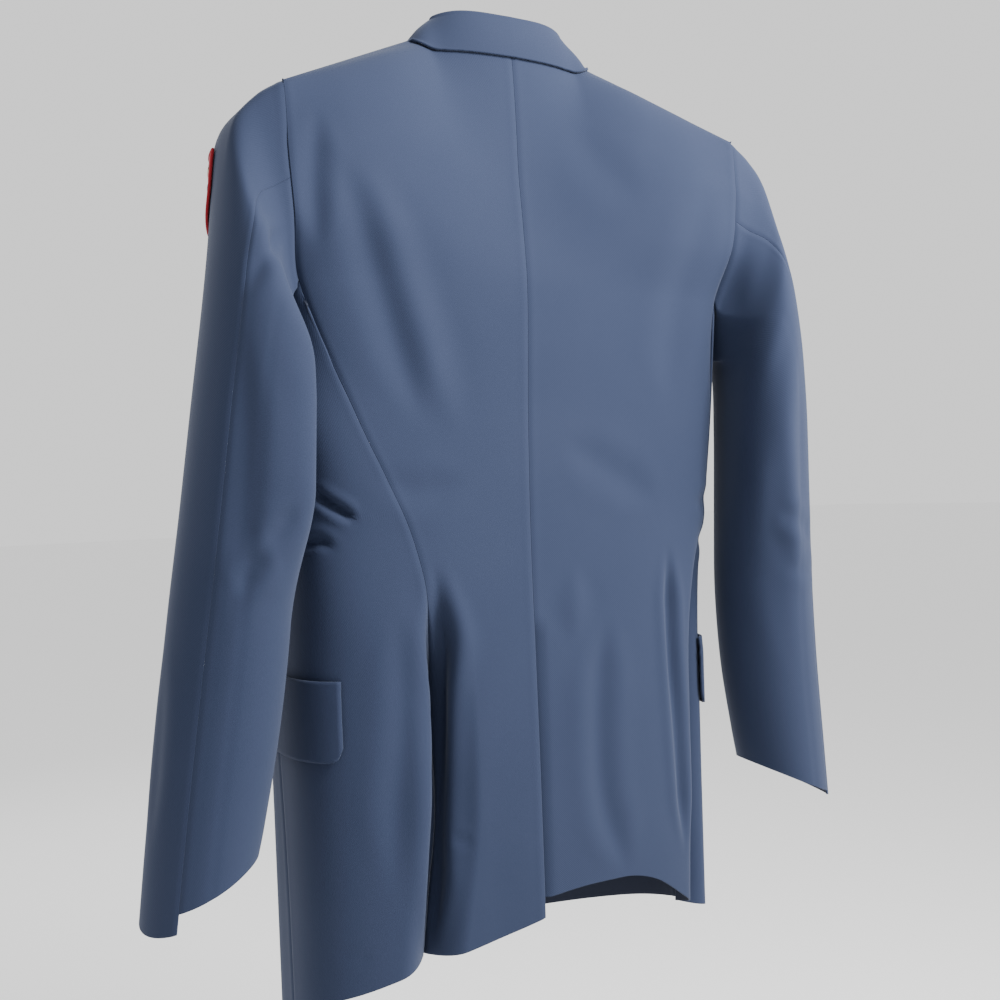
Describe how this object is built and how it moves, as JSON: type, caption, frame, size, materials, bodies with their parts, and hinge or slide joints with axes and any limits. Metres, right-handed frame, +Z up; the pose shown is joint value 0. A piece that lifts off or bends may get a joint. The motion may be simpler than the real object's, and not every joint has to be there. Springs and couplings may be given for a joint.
{
  "type": "dress uniform jacket",
  "caption": "Single-breasted dress uniform jacket in blue wool with notch lapels, flapped pockets, a centre vent and a shield-shaped patch on the left sleeve, hollow and in its worn form.",
  "frame": {"origin": "the nape, at the middle of the back neck seam, where the jacket is held", "axes": "+Z up, the wearer faces -Y, the wearer's left is +X"},
  "size_m": [0.676, 0.2727, 0.8577],
  "materials": {
    "cloth": "matt worsted wool",
    "patch": "embroidered twill",
    "button": "satin"
  },
  "bodies": {
    "root": {"back_left": "cloth", "back_right": "cloth", "side_left": "cloth", "side_right": "cloth", "front_left": "cloth", "front_right": "cloth", "collar": "cloth", "lapel_left": "cloth", "lapel_right": "cloth", "pocket_flap_left": "cloth", "pocket_flap_right": "cloth", "top_sleeve_left": "cloth", "top_sleeve_right": "cloth", "under_sleeve_left": "cloth", "under_sleeve_right": "cloth", "shoulder_patch": "patch", "button_1": "button", "button_2": "button", "button_3": "button"}
  },
  "joints": []
}
